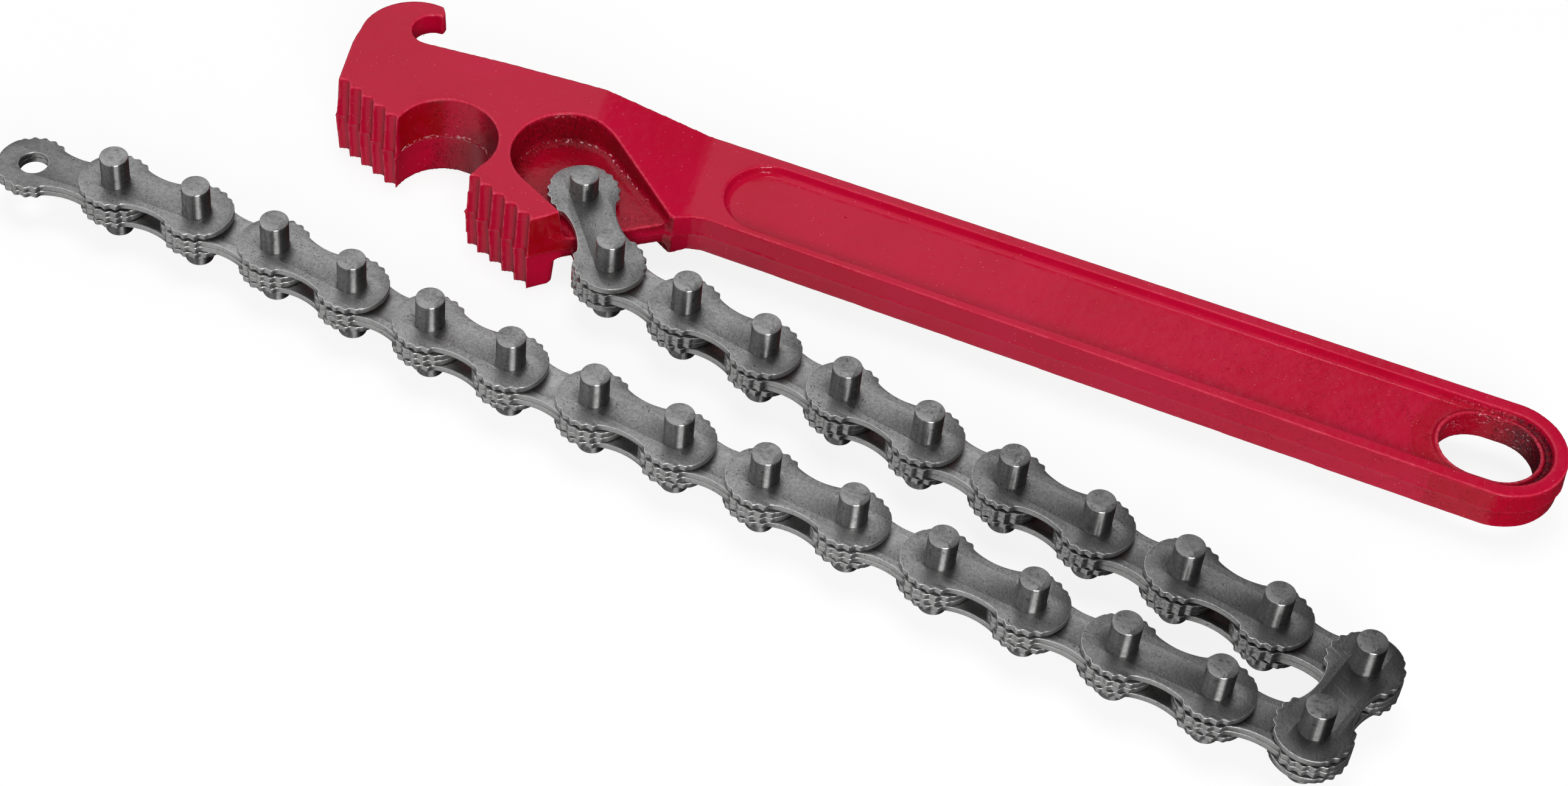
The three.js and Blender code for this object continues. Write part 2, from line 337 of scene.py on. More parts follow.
def sideProfile():  # thick head, ramp and thin bar, seen from the side
    soft = casting["rampSoftness"]
    start, end = casting["rampStart"], casting["rampEnd"]
    fall = (headMiddle - barHalf) / (end - start)
    left, right = start + casting["profileRun"][0], end + casting["profileRun"][1]
    upper = [
        (right, barHalf),
        (end + soft, barHalf),
        (end, barHalf + fall * soft / 4),
        (end - soft, barHalf + fall * soft),
        (start + soft, headMiddle - fall * soft),
        (start, headMiddle - fall * soft / 4),
        (start - soft, headMiddle),
        (left, headMiddle + casting["beyond"]),
    ]
    outline = [(x, -z) for x, z in upper[::-1]] + upper
    side = casting["profileSide"]
    solid = layered("sideProfile", outline, [(-side, 0), (side, 0)])
    solid.data.transform(Matrix.Rotation(math.radians(90), 4, "X"))
    solid.data.transform(Matrix.Rotation(math.radians(casting["rampSkew"]), 4, "Z"))
    solid.data.transform(Matrix.Translation((0, 0, headMiddle)))
    return solid


def wallLevels(floor, depth, slope, fillet, side):  # a wall that leans and meets its floor softly
    levels = []
    for share in casting["filletSteps"]:
        rise = share * fillet
        curve = fillet - math.sqrt(fillet ** 2 - (fillet - rise) ** 2)
        levels.append((floor + side * rise, curve + slope * (1 - rise / depth)))
    levels.append((floor + side * depth, 0))
    levels.append((floor + side * (depth + casting["beyond"]), 0))
    return levels if side > 0 else levels[::-1]


def carvedCasting():
    flash, reach = casting["flashHeight"] / 2, casting["flashReach"]
    draft = casting["draft"]
    outline = castingOutline()
    handle = layered("handleCasting", outline, [
        (headMiddle - flash / 2, -reach), (headMiddle + flash / 2, -reach),
        (headMiddle + flash, 0), (2 * headMiddle, draft),
    ])
    shiftX, shiftY = casting["mouldShift"]
    shifted = [(x + shiftX, y + shiftY) for x, y in outline]
    carve(handle, layered("lowerHalf", shifted, [
        (0, draft), (headMiddle - flash, 0), (headMiddle - flash / 2, -reach), (headMiddle, -reach),
    ]), "UNION")
    carve(handle, sideProfile(), "INTERSECT")
    panel = stadium(
        casting["panelLeft"], casting["panelRadius"],
        casting["tail"], casting["tailRadius"] - casting["rimWidth"],
    )
    for side in (1, -1):
        pocket = pocketOutline(0 if side > 0 else casting["blockRound"])
        for name, hollow, top in (("pocket", pocket, headMiddle), ("panel", panel, barHalf)):
            slope, fillet = casting[name + "Slope"], casting[name + "Fillet"]
            wall = wallLevels(headMiddle + side * webHalf, top - webHalf, slope, fillet, side)
            carve(handle, layered(name, hollow, wall))
    x, y = casting["hang"]
    left, right = (x - casting["hangHalfStraight"], y), (x + casting["hangHalfStraight"], y)
    lipRadius = casting["hangRadius"] + casting["lipWidth"]
    lipHalf = webHalf + casting["lipHeight"]
    lipLevels = [(headMiddle - lipHalf + rise, inset) for rise, inset in casting["lipEdge"]]
    lipLevels += [(headMiddle + lipHalf - rise, inset) for rise, inset in casting["lipEdge"][::-1]]
    lip = layered("lip", stadium(left, lipRadius, right, lipRadius), lipLevels)
    carve(handle, lip, "UNION")
    slotHole = stadium(left, casting["hangRadius"], right, casting["hangRadius"])
    through = [(-casting["beyond"], 0), (2 * headMiddle + casting["beyond"], 0)]
    carve(handle, layered("hangSlot", slotHole, through))
    hookSlot = stadium(
        casting["slotRun"], casting["slotRadius"], casting["hookMouth"], casting["slotRadius"]
    )
    prong = casting["prongThickness"]
    carve(handle, layered("hookSlot", hookSlot, [(prong, 0), (2 * headMiddle - prong, 0)]))
    return handle


def withNodules(handle):  # beads of iron in the roots of the teeth, where the mould halves met
    shape = bmesh.new()
    shape.from_mesh(handle.data)
    run = casting["teeth"] * casting["toothPitch"]
    for start in (2 * run + casting["jawGap"], run):
        for i in range(casting["teeth"]):
            back = start - (i + 0.5) * casting["toothPitch"]
            x, y = jawPoint(back, casting["toothDepth"])
            change = casting["noduleChange"]
            size = casting["noduleRadius"] * (1 - change + change * math.sin(5 * i + start))
            place = Matrix.Translation((x, y, headMiddle - size / 2)) @ Matrix.Diagonal(
                (size, size, size * casting["noduleFlatness"], 1)
            )
            bmesh.ops.create_icosphere(shape, subdivisions=2, radius=1, matrix=place)
    shape.to_mesh(handle.data)
    shape.free()
    return handle


def softened(handle):  # an even skin of small faces, with its corners worn round
    skin = handle.modifiers.new("skin", "REMESH")
    skin.mode = "VOXEL"
    skin.voxel_size = casting["voxel"]
    smooth = handle.modifiers.new("smooth", "SMOOTH")
    smooth.factor = casting["softenShare"]
    smooth.iterations = casting["softenSteps"]
    return taken(handle)


# Sockets and links of a node tree, with fewer words
def addNode(tree, kind, inputs=None, **settings):
    node = tree.nodes.new(kind)
    for key, value in settings.items():
        setattr(node, key, value)
    for key, value in (inputs or {}).items():
        socket = node.inputs[key]
        if isinstance(value, bpy.types.NodeSocket):
            tree.links.new(value, socket)
        else:
            socket.default_value = value
    return node


def maths(tree, operation, first, second=0.0, third=0.0):
    inputs = {0: first, 1: second, 2: third}
    return addNode(tree, "ShaderNodeMath", inputs, operation=operation).outputs[0]


def newTree(name, sockets):
    tree = bpy.data.node_groups.new(name, "GeometryNodeTree")
    for way in ("INPUT", "OUTPUT"):
        tree.interface.new_socket("Geometry", in_out=way, socket_type="NodeSocketGeometry")
    for label, kind, value in sockets:
        kind = "NodeSocket" + kind
        socket = tree.interface.new_socket(label, in_out="INPUT", socket_type=kind)
        if value is not None:
            socket.default_value = value
    return tree, addNode(tree, "NodeGroupInput").outputs


def emptyTree(owner):  # the node tree of a material or a sky, with nothing in it
    owner.use_nodes = True
    owner.node_tree.nodes.clear()
    return owner.node_tree


def useTree(piece, tree, values):
    grown = piece.modifiers.new(tree.name, "NODES")
    grown.node_group = tree
    for item in tree.interface.items_tree:
        if item.in_out == "INPUT" and item.name in values:
            grown[item.identifier] = values[item.name]
    return taken(piece)


# The skin of the casting, in mm
castSkin = {
    "Peel Size": 2.6,
    "Peel Height": 0.07,
    "Grit Size": 0.9,
    "Grit Height": 0.05,
    "Flash Size": 1.2,
    "Flash Height": 0.32,
    "Parting Height": headMiddle,
    "Parting Band": 0.45,
}


def castSkinTree():  # orange peel everywhere, and a ragged line where the mould halves met
    sockets = [(label, "Float", value) for label, value in castSkin.items()]
    tree, given = newTree("castSkin", sockets)
    place = addNode(tree, "GeometryNodeInputPosition").outputs[0]
    normal = addNode(tree, "GeometryNodeInputNormal").outputs[0]

    def swell(size, height):
        scale = maths(tree, "DIVIDE", 1.0, given[size])
        noise = addNode(tree, "ShaderNodeTexNoise", {
            "Vector": place, "Scale": scale, "Detail": 2.0, "Roughness": 0.55,
        })
        level = maths(tree, "SUBTRACT", noise.outputs[0], 0.5)
        return maths(tree, "MULTIPLY", level, given[height])

    split = addNode(tree, "ShaderNodeSeparateXYZ", {0: place}).outputs
    upright = addNode(tree, "ShaderNodeSeparateXYZ", {0: normal}).outputs[2]
    fromParting = maths(tree, "SUBTRACT", split[2], given["Parting Height"])
    away = maths(tree, "ABSOLUTE", fromParting)
    near = maths(tree, "SUBTRACT", 1.0, maths(tree, "DIVIDE", away, given["Parting Band"]))
    band = addNode(tree, "ShaderNodeClamp", {0: near}).outputs[0]
    sideways = maths(tree, "SUBTRACT", 1.0, maths(tree, "ABSOLUTE", upright))
    flash = maths(tree, "MULTIPLY", band, sideways)
    flash = maths(tree, "MULTIPLY", flash, swell("Flash Size", "Flash Height"))
    push = maths(tree, "ADD", swell("Peel Size", "Peel Height"), flash)
    push = maths(tree, "ADD", push, swell("Grit Size", "Grit Height"))
    offset = addNode(tree, "ShaderNodeVectorMath", {0: normal, "Scale": push}, operation="SCALE")
    moved = addNode(tree, "GeometryNodeSetPosition", {
        "Geometry": given["Geometry"], "Offset": offset.outputs[0],
    })
    addNode(tree, "NodeGroupOutput", {0: moved.outputs[0]})
    return tree


# Material helpers: object coordinates in mm
def newMaterial(name):
    material = bpy.data.materials.new(name)
    tree = emptyTree(material)
    shader = addNode(tree, "ShaderNodeBsdfPrincipled")
    addNode(tree, "ShaderNodeOutputMaterial", {"Surface": shader.outputs[0]})
    coordinates = addNode(tree, "ShaderNodeTexCoord").outputs["Object"]
    place = addNode(tree, "ShaderNodeMapping", {"Vector": coordinates, "Scale": (1000,) * 3})
    return material, tree, shader, place.outputs[0]


def noiseAt(tree, place, size, detail=3.0, roughness=0.5, stretch=None):
    if stretch:
        place = addNode(tree, "ShaderNodeMapping", {"Vector": place, "Scale": stretch}).outputs[0]
    return addNode(tree, "ShaderNodeTexNoise", {
        "Vector": place, "Scale": 1 / size, "Detail": detail, "Roughness": roughness,
    }).outputs[0]


def ranged(tree, value, low, high, toLow=0.0, toHigh=1.0, smooth=False):
    kind = "SMOOTHSTEP" if smooth else "LINEAR"
    return addNode(tree, "ShaderNodeMapRange", {
        "Value": value, "From Min": low, "From Max": high, "To Min": toLow, "To Max": toHigh,
    }, interpolation_type=kind, clamp=True).outputs[0]


def mixed(tree, amount, first, second):
    inputs = {0: amount, 6: first, 7: second}
    return addNode(tree, "ShaderNodeMix", inputs, data_type="RGBA").outputs[2]


def laidOn(tree, colour, mask, strength, layer):  # a second colour over the first, under a mask
    return mixed(tree, maths(tree, "MULTIPLY", mask, strength), colour, layer)


def cloudy(tree, place, size, detail, roughness, low, high, toLow=0.0, toHigh=1.0, stretch=None):
    noise = noiseAt(tree, place, size, detail, roughness, stretch)
    return ranged(tree, noise, low, high, toLow, toHigh)


def specks(tree, place, cell, small, large, share):  # round dots on a share of the cells
    dots = addNode(tree, "ShaderNodeTexVoronoi", {"Vector": place, "Scale": 1 / cell})
    chance = addNode(tree, "ShaderNodeSeparateColor", {0: dots.outputs["Color"]}).outputs
    size = ranged(tree, chance[1], 0, 1, small / cell, large / cell)
    near = maths(tree, "SUBTRACT", size, dots.outputs["Distance"])
    dot = ranged(tree, maths(tree, "DIVIDE", near, size), 0, 0.35)
    return maths(tree, "MULTIPLY", dot, maths(tree, "LESS_THAN", chance[0], share))


def bumped(tree, shader, height, distance):
    inputs = {"Height": height, "Distance": distance * mm, "Strength": 1.0}
    bump = addNode(tree, "ShaderNodeBump", inputs)
    tree.links.new(bump.outputs[0], shader.inputs["Normal"])


# Red enamel over a rough casting. Each noise has its size in mm, detail, roughness, the two
# levels that it rises between and, where these are not 0 and 1, what it rises from and to.
enamel = {
    "red": (0.49, 0.003, 0.036, 1),
    "driftRed": (0.45, 0.002, 0.026, 1),
    # painted shade: a deeper red in hollows, in creases and on faces that catch no sheen, over paint that lies
    # thicker there
    "shadeRed": (0.31, 0.0004, 0.003, 1),
    # on sharp outward bends: thin paint with a painted highlight along the edge
    "thinAndHighlitRed": (0.62, 0.05, 0.09, 1),
    "speck": (0.74, 0.20, 0.23, 1),
    "pit": (0.07, 0.002, 0.007, 1),
    # dirt with painted shade: darkest in the recesses
    "dirtAndShade": (0.05, 0.003, 0.009, 1),
    # painted glints: pale flecks that stand in for highlights
    "glint": (0.95, 0.55, 0.61, 1),
    "gloss": 0.27,
    "coat": 0.13,
    "coatRoughness": 0.06,
    "drift": (14, 2, 0.5, 0.3, 0.7),
    "cloud": (2.4, 4, 0.6, 0.38, 0.58, 0.7, 1.0),
    "soilAndShade": (0.45, 4, 0.65, 0.36, 0.60),
    "evenSoilAndShade": 0.35,
    "ragged": (0.55, 3, 0.65, 0.36, 0.58, 0.3, 1.0),
    "glintEdgeCut": 0.35,
    "patches": (3.2, 3, 0.5, 0.42, 0.58, 0.1, 1.0),
    "shine": (5, 3, 0.5, 0.3, 0.7, 0.09, 0.18),
    "ripple": (0.75, 3, 0.7, (1.0, 1.0, 1.8)),
    "ripplePeaks": (0.6, 0.65),
    "denseGlintRipple": 0.09,
    "cover": 0.95,
    "pitAndGlintCover": 0.85,
    "specks": [
        {"cell": 0.85, "small": 0.032, "large": 0.112, "share": 0.55, "cover": 0.75},
        {"cell": 0.5, "small": 0.018, "large": 0.063, "share": 0.35, "cover": 0.4},
    ],
    "pits": [
        {"noise": (0.3, 2, 0.6, 0.58, 0.66), "everywhere": 0.0},
        {"noise": (0.8, 2, 0.6, 0.72, 0.76), "everywhere": 0.3},
    ],
    "peelSize": 2.2,
    "peelHeight": 0.8,
    "gritSize": 0.3,
    "gritHeight": 0.12,
    "lumpSize": 0.7,
    "lumpHeight": (0.25, 2.6),
    "bumpHeight": 0.1,
}


def pointMark(tree, name):
    return addNode(tree, "ShaderNodeAttribute", attribute_name=name).outputs["Fac"]


def enamelColour(tree, place, pitted, patches):
    wornAndHighlit, creaseShade = pointMark(tree, "wornAndHighlit"), pointMark(tree, "creaseShade")
    paintedGlint = pointMark(tree, "paintedGlint")
    drift = cloudy(tree, place, *enamel["drift"])
    colour = mixed(tree, drift, enamel["red"], enamel["driftRed"])
    cloud = cloudy(tree, place, *enamel["cloud"])
    # painted shade: the red deepens in hollows and in creases
    shaded = maths(tree, "MAXIMUM", maths(tree, "MULTIPLY", pointMark(tree, "paintedShade"), cloud), creaseShade)
    colour = laidOn(tree, colour, shaded, enamel["cover"], enamel["shadeRed"])
    # dirt and painted shade darken the recesses marked dark
    soilAndShade = maths(tree, "ADD", cloudy(tree, place, *enamel["soilAndShade"]), enamel["evenSoilAndShade"])
    soilAndShade = maths(tree, "MULTIPLY", pointMark(tree, "dark"), soilAndShade)
    colour = mixed(tree, maths(tree, "MINIMUM", soilAndShade, enamel["cover"]), colour, enamel["dirtAndShade"])
    # thin paint and a painted highlight along sharp outward edges, broken up by noise
    ragged = cloudy(tree, place, *enamel["ragged"])
    ragged = maths(tree, "MULTIPLY", ragged, ranged(tree, paintedGlint, 0, 1, 1.0, enamel["glintEdgeCut"]))
    colour = laidOn(tree, colour, wornAndHighlit, ragged, enamel["thinAndHighlitRed"])
    for kind in enamel["specks"]:
        dots = specks(tree, place, kind["cell"], kind["small"], kind["large"], kind["share"])
        colour = laidOn(tree, colour, dots, kind["cover"], enamel["speck"])
    colour = laidOn(tree, colour, pitted, enamel["pitAndGlintCover"], enamel["pit"])
    # painted glints: pale flecks in the glint-marked places, denser along the seam and the pocket's foot
    denseGlint = ranged(tree, paintedGlint, 1.0, 2.0)
    ripple = noiseAt(tree, place, *enamel["ripple"])
    ripple = maths(tree, "MULTIPLY_ADD", denseGlint, enamel["denseGlintRipple"], ripple)
    peaks = ranged(tree, ripple, *enamel["ripplePeaks"])
    glint = maths(tree, "MULTIPLY", peaks, ranged(tree, paintedGlint, 0.3, 1.0))
    glint = maths(tree, "MULTIPLY", glint, maths(tree, "MAXIMUM", patches, denseGlint))
    return laidOn(tree, colour, glint, enamel["pitAndGlintCover"], enamel["glint"])


def enamelMaterial():
    material, tree, shader, place = newMaterial("redEnamel")
    rough = pointMark(tree, "rough")
    patches = cloudy(tree, place, *enamel["patches"])
    pitted = 0.0
    for kind in enamel["pits"]:
        holes = cloudy(tree, place, *kind["noise"])
        where = maths(tree, "MAXIMUM", maths(tree, "MULTIPLY", rough, patches), kind["everywhere"])
        pitted = maths(tree, "MAXIMUM", pitted, maths(tree, "MULTIPLY", holes, where))
    colour = enamelColour(tree, place, pitted, patches)
    tree.links.new(colour, shader.inputs["Base Color"])
    tree.links.new(cloudy(tree, place, *enamel["shine"]), shader.inputs["Roughness"])
    shader.inputs["Specular IOR Level"].default_value = enamel["gloss"]
    shader.inputs["Coat Weight"].default_value = enamel["coat"]
    shader.inputs["Coat Roughness"].default_value = enamel["coatRoughness"]
    peel = noiseAt(tree, place, enamel["peelSize"], 2)
    grit = noiseAt(tree, place, enamel["gritSize"], 2)
    height = maths(tree, "MULTIPLY", peel, enamel["peelHeight"])
    height = maths(tree, "MULTIPLY_ADD", grit, enamel["gritHeight"], height)
    height = maths(tree, "SUBTRACT", height, pitted)
    lumpy = ranged(tree, rough, 0.45, 1.0, *enamel["lumpHeight"])
    lumpy = maths(tree, "MULTIPLY", lumpy, maths(tree, "GREATER_THAN", rough, 0.05))
    lumps = noiseAt(tree, place, enamel["lumpSize"], 4, 0.6)
    height = maths(tree, "MULTIPLY_ADD", lumps, lumpy, height)
    bumped(tree, shader, height, enamel["bumpHeight"])
    return material


def eased(value, low, high):  # 0 at low, 1 at high, level beyond them
    share = min(1.0, max(0.0, (value - low) / (high - low)))
    return share * share * (3 - 2 * share)


def jawDepth(x, y):  # how far a place lies behind the line of the teeth's tips
    turn = math.radians(casting["jawTurn"])
    endX, endY = casting["jawEnd"]
    return (y - endY) * math.cos(turn) - (x - endX) * math.sin(turn)


def inPocket(x, y, margin=0.6):
    centre, radius = Vector(casting["pocket"]), casting["pocketRadius"]
    place = Vector((x, y)) - centre
    overBlock = place.dot(polar(0, 0, 1, casting["pocketLowerTurn"] + 90)) > -radius - margin
    underNeck = place.dot(polar(0, 0, 1, casting["pocketSideTurn"] + 90)) < radius + margin
    if place.length < radius + margin:
        return True
    return overBlock and underNeck and centre.x < x < casting["neckCorner"][0] + margin


# Where the casting is rough, where its red deepens as painted shade, where dirt and painted shade darken it, and
# where painted glints lie. Pairs are where a mark starts and where it is full, in mm, and in degrees round the
# notch.
markLimits = {
    "notchSkin": 0.8,
    "notchInside": 1.5,
    "notchBelow": 0.25,
    "notchLeft": (108, 122),
    "notchRight": (80, 50),
    "notchMiddle": 118,
    "notchFar": (26, 8),
    "seam": (0.75, 0.35),
    "pocketBelow": 0.5,
    "pocketWall": (0.3, 1.6),
    "pocketNear": (5.0, 9.5),
    "pocketLeft": (3.0, -6.0),
    "pocketFoot": (1.1, 0.65),
    "pocketFloor": (0.15, 0.4),
    "pocketBack": (-2, 4),
    "denseGlint": 1.6,
    "barBelow": 0.3,
    "barLeft": 20,
    "barRough": (60, 140),
    "slotReach": 13,
    "slotBehind": (0.5, 8.5),
    "slotBack": (0, 3.5),
    "slotGlint": (8.5, 5),
    "blockCorner": (-4, -9),
    "blockUpper": (-0.8, 0.2),
}


# painted shade on the notch's left wall, dirt with painted shade on its right, painted glints along the seam
def notchMarks(notch, z):
    isUpper = z > headMiddle
    side = math.degrees(math.atan2(notch.y, notch.x)) % 360
    left, right = eased(side, *markLimits["notchLeft"]), eased(side, *markLimits["notchRight"])
    rough = 0.5 + 0.5 * max(eased(abs(side - markLimits["notchMiddle"]), *markLimits["notchFar"]), right)
    paintedShade = max(left, 0.8 * right) if isUpper else 0.15
    dark = (0.45 if isUpper else 0.2) * right
    return rough, paintedShade, dark, markLimits["denseGlint"] * eased(abs(z - headMiddle), *markLimits["seam"])


# painted shade on the pocket's walls, dirt with painted shade on its floor, painted glints at the foot of the back
# wall
def pocketMarks(pocket, x, rise):
    wall = eased(rise, *markLimits["pocketWall"])
    near = eased(pocket.length, *markLimits["pocketNear"])
    left = near * eased(x, *markLimits["pocketLeft"])
    foot = eased(rise, *markLimits["pocketFoot"]) * eased(rise, *markLimits["pocketFloor"])
    paintedGlint = markLimits["denseGlint"] * foot * eased(pocket.y, *markLimits["pocketBack"])
    rough, paintedShade = max(0.6 * wall, left, 0.5), max(wall, 0.6, left)
    return rough, paintedShade, max(0.45 * left, 0.3 * near, 0.12), paintedGlint


# painted shade and dirt with painted shade in the slot and its groove, darkest towards the far end; painted glints
# on its wall
def slotMarks(hang, below):
    lipRadius = casting["hangRadius"] + casting["lipWidth"]
    fromSlot = math.hypot(max(0, abs(hang.x) - casting["hangHalfStraight"]), hang.y)
    isDeep = below > 0.7
    isOutside = fromSlot > casting["tailRadius"] - 0.3
    isHollow = fromSlot < casting["hangRadius"] + 0.3
    isGroove = fromSlot > lipRadius - 0.2 and isDeep
    rough = 1.0 if isDeep and hang.x + hang.y > 0 and not isOutside else 0.5
    paintedShade = 0.5 if isHollow or isGroove else 0.3
    dark = 0.12 if isOutside else 0.85 if isHollow or isGroove else 0.2
    dark *= eased(hang.x + 0.4 * hang.y, *markLimits["slotBehind"])
    paintedGlint = 0.0
    if below > 0.55 and (fromSlot < lipRadius + 0.1 or hang.x > -1):
        paintedGlint = eased(hang.y, *markLimits["slotBack"]) * eased(hang.x, *markLimits["slotGlint"])
        paintedGlint *= 1.0 if isHollow else 0.75
    return rough, paintedShade, dark, paintedGlint


def castMarks(place):  # how rough the iron is there, how much painted shade deepens its red, how much dirt and painted shade darken it, and how much painted glint it gets
    x, y, z = place
    away = abs(z - headMiddle)
    rise = away - webHalf
    turn = math.radians(casting["rampSkew"])
    along = x * math.cos(turn) + y * math.sin(turn)
    down = (along - casting["rampStart"]) / (casting["rampEnd"] - casting["rampStart"])
    below = headMiddle + (barHalf - headMiddle) * min(1, max(0, down)) - away
    centres = (Vector(casting[name]) for name in ("notch", "pocket", "hang"))
    notch, pocket, hang = (Vector((x, y)) - centre for centre in centres)
    onNotch = abs(notch.length - casting["notchRadius"]) < markLimits["notchSkin"]
    onNotch = onNotch and jawDepth(x, y) > markLimits["notchInside"]
    if onNotch and below > markLimits["notchBelow"]:
        return notchMarks(notch, z)
    if below > markLimits["pocketBelow"] and rise > -1 and inPocket(x, y):
        return pocketMarks(pocket, x, rise)
    if below > markLimits["barBelow"]:
        if x > markLimits["barLeft"] and hang.length < markLimits["slotReach"]:
            return slotMarks(hang, below)
        if x > markLimits["barLeft"]:
            return 0.4 * eased(x, *markLimits["barRough"]), 0.0, 0.0, 0.0
        # painted shade on the upper half of the block's end face
        if x > markLimits["blockCorner"][0] and y < markLimits["blockCorner"][1]:
            return 0.0, eased(z - headMiddle, *markLimits["blockUpper"]), 0.0, 0.0
    return 0.0, 0.0, 0.0, 0.0


def addMark(mesh, name, values, domain="POINT"):
    mark = mesh.attributes.new(name, "FLOAT", domain)
    mark.data.foreach_set("value", values)


def markBends(mesh):  # how sharply the skin bends outwards (thin paint with a painted highlight on edges) and inwards (painted shade in creases)
    def read(items, name, width, kind):
        values = numpy.empty(len(items) * width, dtype=kind)
        items.foreach_get(name, values)
        return values.reshape(-1, width)

    count = len(mesh.vertices)
    places = read(mesh.vertices, "co", 3, numpy.float32)
    normals = read(mesh.vertices, "normal", 3, numpy.float32)
    ends = read(mesh.edges, "vertices", 2, numpy.int32)
    first, second = ends.T
    around = numpy.bincount(ends.ravel(), minlength=count).clip(1)

    def gathered(values):  # the mean of a value over each point's neighbours
        total = numpy.bincount(first, values[second], count)
        return (total + numpy.bincount(second, values[first], count)) / around

    sag = sum((places[:, i] - gathered(places[:, i])) * normals[:, i] for i in range(3))
    bend = sag * 4 / casting["voxel"] ** 2
    for _ in range(casting["bendBlur"]):
        bend = (bend + gathered(bend)) / 2
    low, high = casting["bendLow"], casting["bendHigh"]
    addMark(mesh, "wornAndHighlit", ((bend - low) / (high - low)).clip(0, 1))
    addMark(mesh, "creaseShade", ((-bend - low) / (high - low)).clip(0, 1))


def makeHandle():
    handle = softened(withNodules(carvedCasting()))
    print("stage: casting carved,", len(handle.data.polygons), "faces")
    markBends(handle.data)
    useTree(handle, castSkinTree(), {})
    anchor = sum(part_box("anchor_pin"), Vector()) / 2
    marks = [castMarks(vertex.co) for vertex in handle.data.vertices]
    for name, values in zip(("rough", "paintedShade", "dark", "paintedGlint"), zip(*marks)):
        addMark(handle.data, name, values)
    handle.data.transform(Matrix.Translation((anchor.x, anchor.y, 0)) @ Matrix.Scale(mm, 4))
    triangles = len(handle.data.polygons) * 2
    if triangles > casting["triangles"]:
        thin = handle.modifiers.new("thin", "DECIMATE")
        thin.ratio = casting["triangles"] / triangles
        taken(handle)
    print("stage: casting skinned,", len(handle.data.polygons), "faces")
    handle.data.materials.clear()
    handle.data.materials.append(enamelMaterial())
    handle.data.shade_smooth()
    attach(handle, "handle")
    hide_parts("handle")


makeHandle()
print("stage: handle made")

# The chain's plates and pins. Lengths in mm, turns in degrees.
chain = {
    "pitch": 16.0,
    "endRadius": 6.45,
    "endSteps": 96,
    "waistHalfWidth": 3.9,
    "waistSteps": 14,
    "waistFullness": 0.8,
    "toothDepth": 0.42,
    "toothFade": 2,
    "teethPerShoulder": 5,
    "firstTooth": 40.0,
    "toothTurn": 17.5,
    "thickness": 1.15,
    "edgeRound": 0.12,
    "holeStep": 9,
    "pairGap": 0.1,
    "outerGap": 0.45,
    "innerSag": 0.2,
    "outerShade": 0.8,
    # painted shade: whole links darkened towards the stain colour, darkest about the fold; unlisted outer links a
    # little darker than inner ones
    "linkPaintedShade": {
        7: 0.58, 8: 0.74, 9: 0.5, 10: 0.55, 11: 0.32, 12: 0.5, 13: 0.54,
        14: 0.8, 15: 0.7, 22: 0.85, 26: 0.6,
    },
    "webClearance": 0.3,
    "pinRadius": 2.5,
    "pinLength": 17.0,
    "pinChamfer": 0.2,
    "pinDome": 0.02,
    "pinSides": 56,
    "pressClearance": 0.02,
    "runningClearance": 0.1,
    "weld": 0.0005,
    "upright": 0.15,
    "crease": 32,
}


def plateEdge():  # toothed round ends joined by a hollow waist
    teethEnd = chain["firstTooth"] + chain["teethPerShoulder"] * chain["toothTurn"]
    end = []
    steps = chain["endSteps"]
    for i in range(steps + 1):
        turn = -teethEnd + 2 * teethEnd * i / steps
        along = (abs(turn) - chain["firstTooth"]) / chain["toothTurn"]
        dip = 0.0
        if along > 0:
            wave = (1 - math.cos(2 * math.pi * along)) / 2
            dip = chain["toothDepth"] * (1 - wave) * min(1, along * chain["toothFade"])
        end.append((turn, chain["endRadius"] - dip))
    right = [polar(chain["pitch"], 0, radius, turn) for turn, radius in end]
    x, y = right[-1]
    waist = []
    for i in range(1, chain["waistSteps"]):
        share = i / chain["waistSteps"]
        fullness = math.sin(math.pi * share) ** chain["waistFullness"]
        sag = (y - chain["waistHalfWidth"]) * fullness
        waist.append((x + (chain["pitch"] - 2 * x) * share, y - sag))
    left = [(chain["pitch"] - x, -y) for x, y in right]
    back = [(chain["pitch"] - x, -y) for x, y in waist]
    return right + waist + left + back


def markFaces(mesh, flat):  # wall: upright faces; rim: the leaning ones between them and the flat
    levels = [abs(face.normal.z) for face in mesh.polygons]
    for name, low, high in (("rim", chain["upright"], flat), ("wall", -1, chain["upright"])):
        addMark(mesh, name, [float(low < level <= high) for level in levels], "FACE")


def platePrototype(name, holeRadius):
    curve = bpy.data.curves.new(name, "CURVE")
    curve.dimensions = "2D"
    curve.fill_mode = "BOTH"
    edge = chain["edgeRound"]
    curve.extrude = chain["thickness"] / 2 - edge
    curve.bevel_depth = edge
    curve.bevel_resolution = 1
    outlines = [drawnIn(plateEdge(), edge)]
    for x in (0, chain["pitch"]):
        outlines.append(arc(x, 0, holeRadius + edge, 0, 360, chain["holeStep"])[:-1])
    for outline in outlines:
        spline = curve.splines.new("POLY")
        spline.points.add(len(outline) - 1)
        spline.use_cyclic_u = True
        for point, (x, y) in zip(spline.points, outline):
            point.co = (x, y, 0, 1)
    plate = linked(name, curve)
    mesh = meshOf(plate)
    bpy.data.objects.remove(plate)
    shape = bmesh.new()
    shape.from_mesh(mesh)
    bmesh.ops.remove_doubles(shape, verts=shape.verts, dist=2 * chain["weld"])
    for x in (0, chain["pitch"]):
        whole = shape.verts[:] + shape.edges[:] + shape.faces[:]
        bmesh.ops.bisect_plane(shape, geom=whole, plane_co=(x, 0, 0), plane_no=(1, 0, 0))
    bmesh.ops.recalc_face_normals(shape, faces=shape.faces)
    shape.to_mesh(mesh)
    shape.free()
    markFaces(mesh, 0.98)
    return linked(name, mesh)


